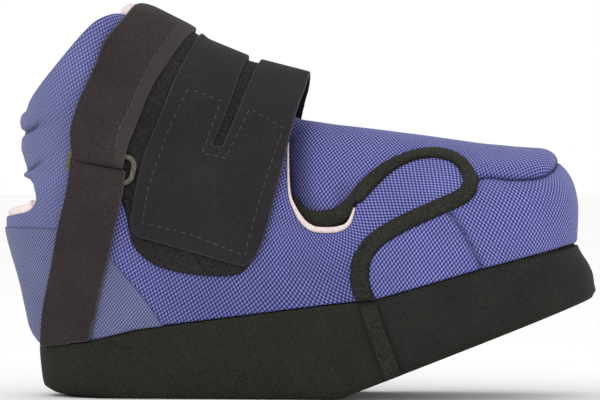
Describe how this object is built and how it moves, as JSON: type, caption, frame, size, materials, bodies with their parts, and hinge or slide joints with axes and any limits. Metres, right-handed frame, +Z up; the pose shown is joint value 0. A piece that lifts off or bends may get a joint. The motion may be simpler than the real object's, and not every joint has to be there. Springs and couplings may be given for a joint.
{
  "type": "metatarsal support shoe",
  "caption": "Forefoot-relief shoe with a rocker wedge sole, a blue mesh upper over a pale padded lining, and black wrap straps fastened through a ring",
  "frame": {"origin": "middle of the bounding box on the floor", "axes": "+X from heel to toe, +Z up; the ring and the flap fasten on the -Y side"},
  "size_m": [0.2865, 0.104, 0.1894],
  "materials": {
    "mesh_blue": "matte",
    "heel_blue": "matte",
    "lining_pale": "matte",
    "strap_black": "matte",
    "pile_black": "matte",
    "tape_black": "matte",
    "cover_black": "matte",
    "sole_foam": "matte",
    "ring_metal": "satin"
  },
  "bodies": {
    "root": {"sole": "sole_foam", "sole_cover": "cover_black", "lining": "lining_pale", "quarter": "mesh_blue", "heel_counter": "heel_blue", "vamp_top": "mesh_blue", "toe_wall": "mesh_blue", "vamp_binding_lateral": "tape_black", "vamp_binding_medial": "tape_black", "loop_patch": "pile_black", "instep_flap": "strap_black", "ankle_strap": "strap_black", "heel_strap": "strap_black", "ring": "ring_metal"}
  },
  "joints": []
}
